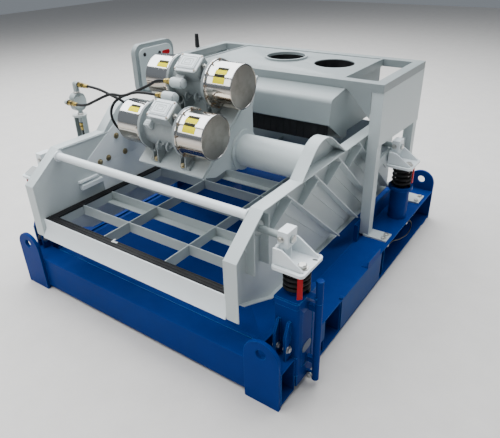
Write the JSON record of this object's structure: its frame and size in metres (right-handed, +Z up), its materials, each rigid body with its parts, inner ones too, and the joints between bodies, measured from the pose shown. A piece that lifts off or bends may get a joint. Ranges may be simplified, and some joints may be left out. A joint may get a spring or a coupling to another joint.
{
  "type": "linear vibrating screen",
  "caption": "Linear vibrating screen on a blue lifting skid: sprung grey basket with grid deck, paired vibration motors and a feed box over its rear.",
  "frame": {"origin": "middle of the ground footprint of the skid, on the ground", "axes": "+X right seen from the discharge end, +Y from the discharge end to the feed box, +Z up"},
  "size_m": [1.943, 2.08, 1.3242],
  "materials": {
    "blue_paint": "gloss deep blue enamel on steel",
    "grey_paint": "light grey satin enamel on steel",
    "motor_paint": "light grey enamel on cast iron",
    "black_rubber": "matt black",
    "polished_steel": "polished stainless sheet",
    "zinc_steel": "yellow zinc plate",
    "machined_steel": "machined steel",
    "brass": "plain brass",
    "black_plastic": "moulded black",
    "cable_jacket": "black rubber jacket"
  },
  "bodies": {
    "skid": {"front_beam": "blue_paint", "rear_beam": "blue_paint", "left_rail": "blue_paint", "right_rail": "blue_paint", "rail_panels": "blue_paint", "mud_pan": "blue_paint", "lifting_lugs": "blue_paint", "left_front_post": "blue_paint", "right_front_post": "blue_paint", "rear_posts": "blue_paint", "jack_bodies": "blue_paint", "rear_springs": "black_rubber", "feed_box_frame": "grey_paint", "feed_tank": "grey_paint", "feed_box_legs": "grey_paint", "feed_end_panels": "grey_paint", "feed_curtain": "black_rubber", "control_box": "grey_paint", "control_box_lid": "grey_paint", "conduit_post": "grey_paint", "conduit_glands": "brass", "frame_bolts": "zinc_steel", "earth_lugs": "zinc_steel", "conduit_cable": "cable_jacket", "earth_lead": "cable_jacket"},
    "lift_columns": {"lift_columns": "blue_paint", "jack_rods": "blue_paint", "front_springs": "black_rubber"},
    "front_brackets": {"front_brackets": "grey_paint", "front_bracket_bolts": "zinc_steel"},
    "rear_brackets": {"rear_brackets": "grey_paint", "rear_bracket_bolts": "zinc_steel"},
    "basket": {"left_side_plate": "grey_paint", "right_side_plate": "grey_paint", "side_ribs": "grey_paint", "front_tube": "grey_paint", "torque_tube": "grey_paint", "motor_saddle": "grey_paint", "deck_grid": "grey_paint", "deck_seal": "black_rubber", "discharge_lip": "grey_paint", "back_plate": "grey_paint", "pivot_pins": "zinc_steel", "wear_plates": "grey_paint", "basket_bolts": "zinc_steel", "front_motor_housing": "motor_paint", "rear_motor_housing": "motor_paint", "motor_covers": "polished_steel", "motor_box_lids": "motor_paint", "motor_glands": "brass", "motor_bearings": "machined_steel", "front_motor_cable": "cable_jacket", "rear_motor_cable": "cable_jacket"},
    "front_rotor": {"front_motor_rotor": "machined_steel"},
    "rear_rotor": {"rear_motor_rotor": "machined_steel"},
    "gate": {"gate_lever": "machined_steel", "gate_grip": "black_plastic"}
  },
  "joints": [
    {"name": "deck_vibration", "type": "slide", "parent": "skid", "child": "rear_brackets", "axis": [0, -0.7071, 0.7071], "range_m": [-0.003, 0.003], "stiffness_N_per_m": 1500000, "deforming": ["rear_springs", "front_springs"]},
    {"name": "deck_tilt", "type": "hinge", "parent": "rear_brackets", "child": "basket", "pos_m": [0, 0.547, 0.685], "axis": [-1, 0, 0], "range_deg": [0, 5]},
    {"name": "front_bracket_level", "type": "hinge", "parent": "basket", "child": "front_brackets", "pos_m": [0, -0.818, 0.745], "axis": [-1, 0, 0], "range_deg": [-5, 0]},
    {"name": "front_lift", "type": "slide", "parent": "skid", "child": "lift_columns", "axis": [0, 0, 1], "range_m": [0, 0.1205]},
    {"name": "front_rotor_spin", "type": "hinge", "parent": "basket", "child": "front_rotor", "pos_m": [0, -0.588, 0.997], "axis": [1, 0, 0], "continuous": true},
    {"name": "rear_rotor_spin", "type": "hinge", "parent": "basket", "child": "rear_rotor", "pos_m": [0, -0.35635, 1.18126], "axis": [1, 0, 0], "continuous": true},
    {"name": "gate_swing", "type": "hinge", "parent": "skid", "child": "gate", "pos_m": [-0.796, 0.56, 1.01], "axis": [-1, 0, 0], "range_deg": [0, 50]}
  ],
  "couplings": [
    {"joint": "front_bracket_level", "follows": "deck_tilt", "ratio": -1},
    {"joint": "front_lift", "follows": "deck_tilt", "m_per_rad": 1.365},
    {"joint": "rear_rotor_spin", "follows": "front_rotor_spin", "ratio": -1}
  ]
}
